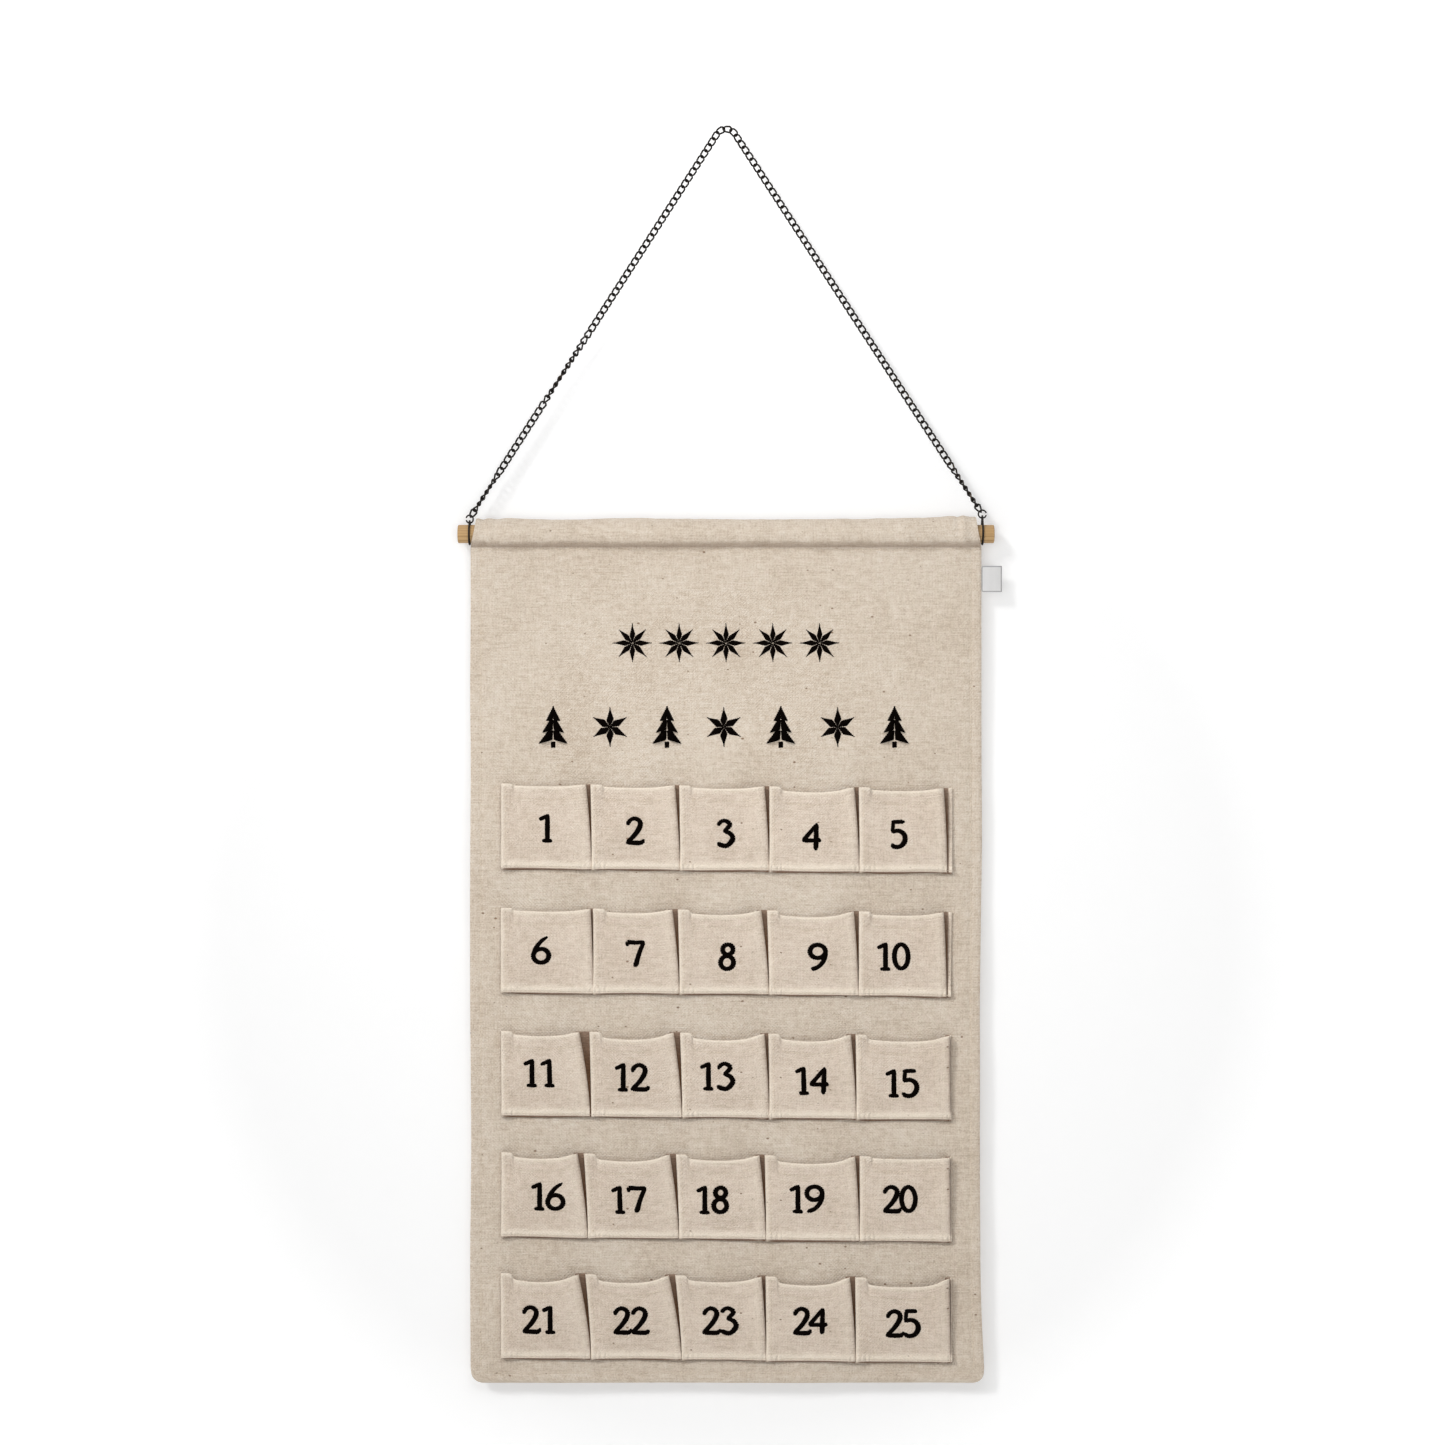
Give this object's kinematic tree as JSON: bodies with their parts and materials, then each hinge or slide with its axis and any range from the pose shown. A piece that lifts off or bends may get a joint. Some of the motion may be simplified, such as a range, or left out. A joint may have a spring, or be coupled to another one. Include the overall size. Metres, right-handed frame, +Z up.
{
  "type": "advent calendar",
  "caption": "Fabric advent calendar: a canvas wall panel with rows of numbered pockets, sleeved over a wooden dowel that hangs on a chain.",
  "frame": {"origin": "top of the hook's bar, under the middle of the chain's crown", "axes": "+Z up, -Y out of the front face with the pockets, +X to the right seen from the front"},
  "size_m": [0.3777, 0.0179, 0.8734],
  "materials": {
    "cream_canvas": "plain weave, matt, with small brown flecks",
    "dowel_wood": "bare, sanded",
    "dark_bronze": "dark bronze, satin",
    "dark_brown_thread": "satin stitch",
    "cream_thread": "sewing thread",
    "label_tape": "woven tape, bare"
  },
  "bodies": {
    "chain": {"chain_crown": "dark_bronze", "chain_left": "dark_bronze", "chain_right": "dark_bronze", "left_dowel_loop": "dark_bronze", "left_jump_ring": "dark_bronze", "right_dowel_loop": "dark_bronze", "right_jump_ring": "dark_bronze"},
    "dowel": {"dowel": "dowel_wood"},
    "panel": {"edge_topstitch": "cream_thread", "fir_1": "dark_brown_thread", "fir_2": "dark_brown_thread", "fir_3": "dark_brown_thread", "fir_4": "dark_brown_thread", "front_canvas": "cream_canvas", "lining_canvas": "cream_canvas", "numeral_01": "dark_brown_thread", "numeral_02": "dark_brown_thread", "numeral_03": "dark_brown_thread", "numeral_04": "dark_brown_thread", "numeral_05": "dark_brown_thread", "numeral_06": "dark_brown_thread", "numeral_07": "dark_brown_thread", "numeral_08": "dark_brown_thread", "numeral_09": "dark_brown_thread", "numeral_10": "dark_brown_thread", "numeral_11": "dark_brown_thread", "numeral_12": "dark_brown_thread", "numeral_13": "dark_brown_thread", "numeral_14": "dark_brown_thread", "numeral_15": "dark_brown_thread", "numeral_16": "dark_brown_thread", "numeral_17": "dark_brown_thread", "numeral_18": "dark_brown_thread", "numeral_19": "dark_brown_thread", "numeral_20": "dark_brown_thread", "numeral_21": "dark_brown_thread", "numeral_22": "dark_brown_thread", "numeral_23": "dark_brown_thread", "numeral_24": "dark_brown_thread", "numeral_25": "dark_brown_thread", "pocket_stitching_1": "cream_thread", "pocket_stitching_2": "cream_thread", "pocket_stitching_3": "cream_thread", "pocket_stitching_4": "cream_thread", "pocket_stitching_5": "cream_thread", "pocket_strip_1": "cream_canvas", "pocket_strip_2": "cream_canvas", "pocket_strip_3": "cream_canvas", "pocket_strip_4": "cream_canvas", "pocket_strip_5": "cream_canvas", "sleeve_seam": "cream_thread", "snow_star_1": "dark_brown_thread", "snow_star_2": "dark_brown_thread", "snow_star_3": "dark_brown_thread", "star_1": "dark_brown_thread", "star_2": "dark_brown_thread", "star_3": "dark_brown_thread", "star_4": "dark_brown_thread", "star_5": "dark_brown_thread"},
    "label": {"side_label": "label_tape"}
  },
  "joints": [
    {"name": "dowel_turn", "type": "hinge", "parent": "chain", "child": "dowel", "pos_m": [0, 0, -0.2787], "axis": [1, 0, 0], "continuous": true},
    {"name": "panel_swing", "type": "hinge", "parent": "chain", "child": "panel", "pos_m": [0, 0, -0.2787], "axis": [1, 0, 0], "range_deg": [-100, 100]},
    {"name": "label_bend", "type": "hinge", "parent": "panel", "child": "label", "pos_m": [0.17815, -0.001, -0.31], "axis": [0, 0, 1], "range_deg": [-70, 70], "stiffness_Nm_per_rad": 0.0002}
  ]
}
